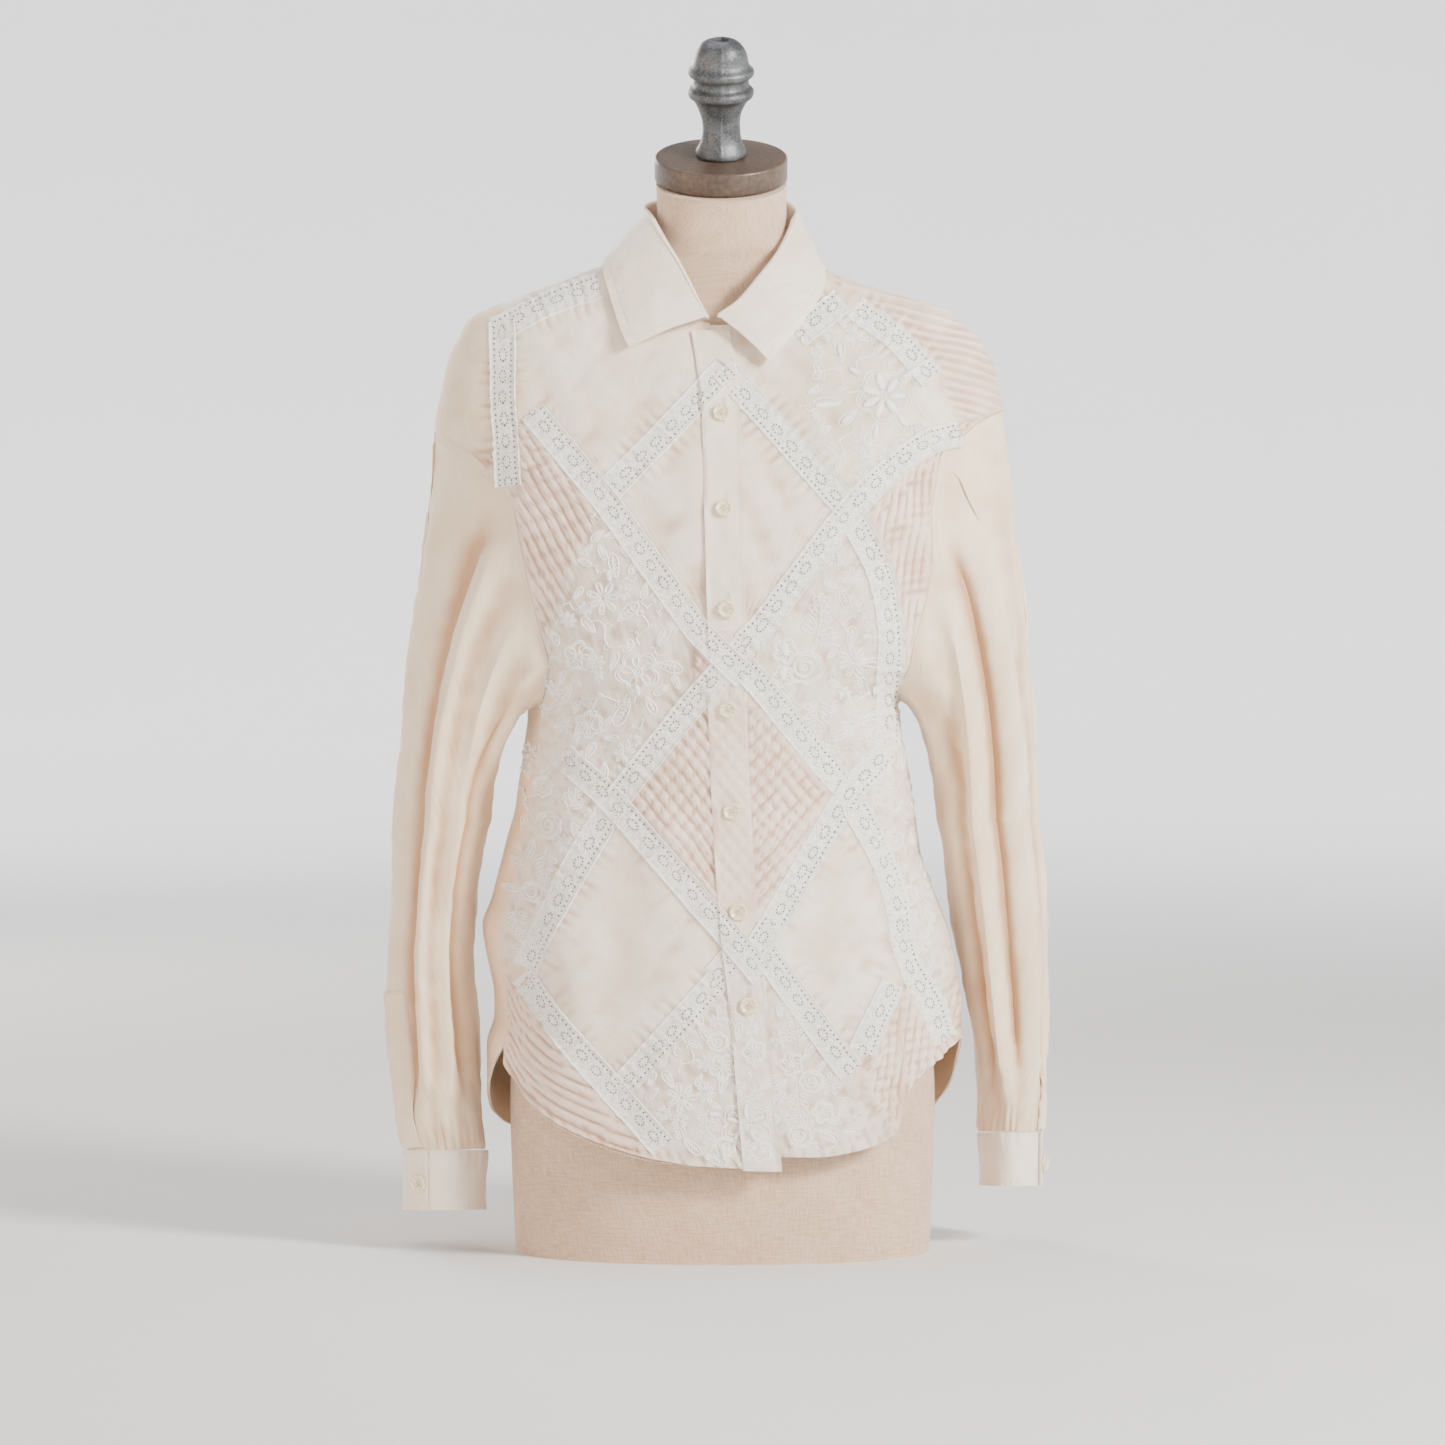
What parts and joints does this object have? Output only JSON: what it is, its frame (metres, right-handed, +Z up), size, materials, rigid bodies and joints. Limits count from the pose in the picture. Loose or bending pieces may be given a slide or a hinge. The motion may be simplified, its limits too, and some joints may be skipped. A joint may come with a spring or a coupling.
{
  "type": "patchwork shirt on dress form",
  "caption": "Long-sleeved patchwork shirt with lace insertion, turned-down collar and shirt-tail hem, worn on a limbless dress form with a capped neck.",
  "frame": {"origin": "on the floor, at the middle of the dress form's flat foot", "axes": "+Z up, -Y the shirt's front, -X the wearer's right"},
  "size_m": [0.5389, 0.2716, 0.967],
  "materials": {
    "cotton": "cream cotton sateen, plain, quilted, tucked and embroidered",
    "insertion": "off-white openwork lace insertion",
    "pearl": "cream pearly button, glossy",
    "linen": "tan linen stretched over a padded form",
    "bronze_paint": "dark bronze paint, satin",
    "cast_iron": "bare dark casting, slightly worn"
  },
  "bodies": {
    "root": {"back": "cotton", "button_1": "pearl", "button_2": "pearl", "button_3": "pearl", "button_4": "pearl", "button_5": "pearl", "button_6": "pearl", "button_7": "pearl", "collar": "cotton", "cuff_button_left": "pearl", "cuff_button_right": "pearl", "cuff_left": "cotton", "cuff_right": "cotton", "form_cap": "bronze_paint", "form_finial": "cast_iron", "form_torso": "linen", "front_left": "cotton", "front_right": "cotton", "lace_01": "insertion", "lace_02": "insertion", "lace_03": "insertion", "lace_04": "insertion", "lace_05": "insertion", "lace_06": "insertion", "lace_07": "insertion", "lace_08": "insertion", "lace_09": "insertion", "lace_10": "insertion", "lace_11": "insertion", "lace_12": "insertion", "lace_13": "insertion", "lace_14": "insertion", "lace_15": "insertion", "lace_16": "insertion", "lace_17": "insertion", "lace_18": "insertion", "lace_19": "insertion", "placket": "cotton", "sleeve_left_lower": "cotton", "sleeve_left_upper": "cotton", "sleeve_placket_left": "cotton", "sleeve_placket_right": "cotton", "sleeve_right_lower": "cotton", "sleeve_right_upper": "cotton"}
  },
  "joints": []
}
